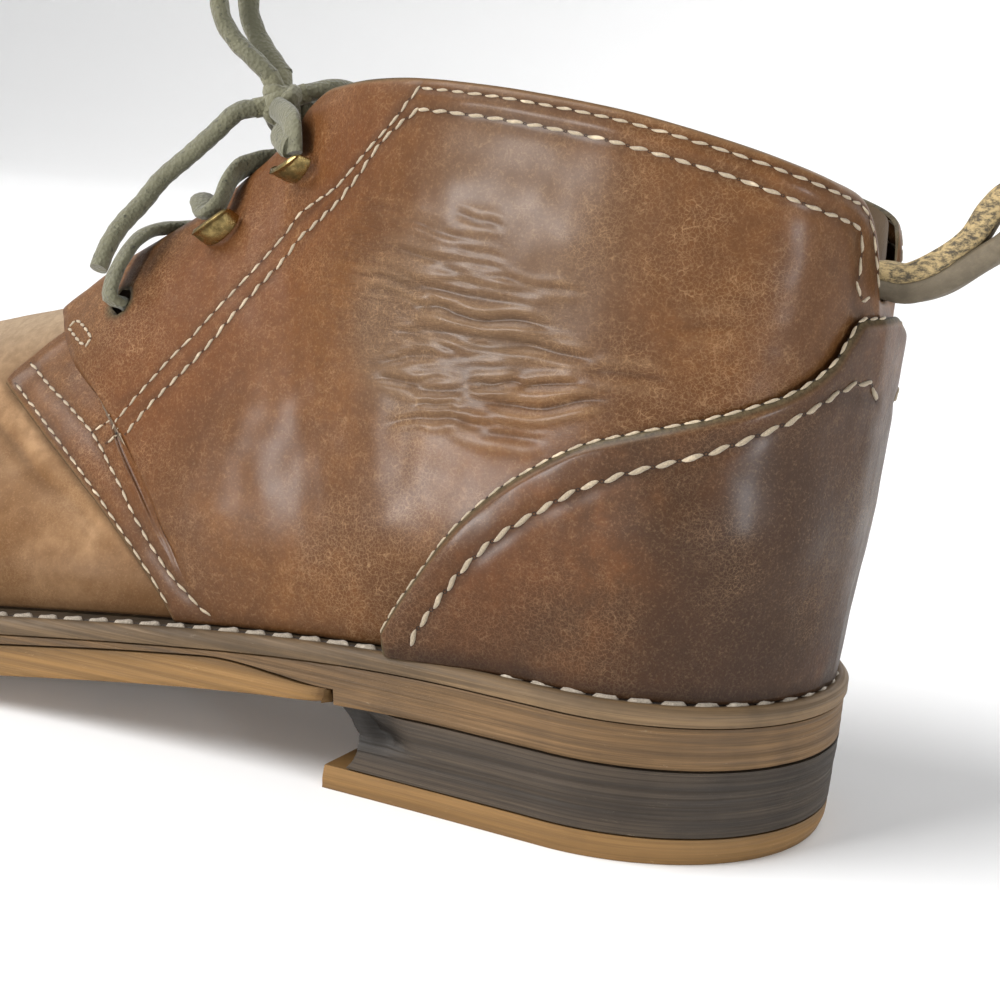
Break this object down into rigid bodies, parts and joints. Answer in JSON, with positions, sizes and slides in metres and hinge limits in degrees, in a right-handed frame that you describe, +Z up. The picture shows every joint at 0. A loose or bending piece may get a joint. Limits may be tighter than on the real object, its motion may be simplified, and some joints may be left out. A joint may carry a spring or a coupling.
{
  "type": "chukka boot",
  "caption": "Worn leather ankle boot with open collar, laced throat, heel counter, stacked heel, gum sole and a pull strap at the back",
  "frame": {"origin": "centre of the round of the heel, on the floor under the top lift", "axes": "+X points from the toe to the heel, along the length; the outer side of the foot is at -Y; +Z up"},
  "size_m": [0.3192, 0.0981, 0.1336],
  "materials": {
    "upper": "worn pull-up leather, warm brown",
    "heel_counter": "darker, burnished",
    "tongue": "matte",
    "welt": "scuffed edge",
    "midsole": "streaked edge",
    "outsole": "gum, matte",
    "heel_stack": "dark stacked layers",
    "top_lift": "gum, matte",
    "insole": "bare leather",
    "pull_strap": "raw cut edge, grey brown",
    "hook": "worn, lightly polished",
    "lace": "waxed round lace, sage grey"
  },
  "bodies": {
    "root": {"upper": "upper", "heel_counter": "heel_counter", "tongue": "tongue", "welt": "welt", "midsole": "midsole", "outsole": "outsole", "heel_stack": "heel_stack", "top_lift": "top_lift", "insole": "insole", "pull_strap": "pull_strap", "hook_middle_outer": "hook", "hook_middle_inner": "hook", "hook_top_outer": "hook", "hook_top_inner": "hook", "lace_crossings": "lace", "lace_knot": "lace", "lace_near_loop": "lace", "lace_near_end": "lace", "lace_far_loop": "lace", "lace_far_end": "lace"}
  },
  "joints": []
}
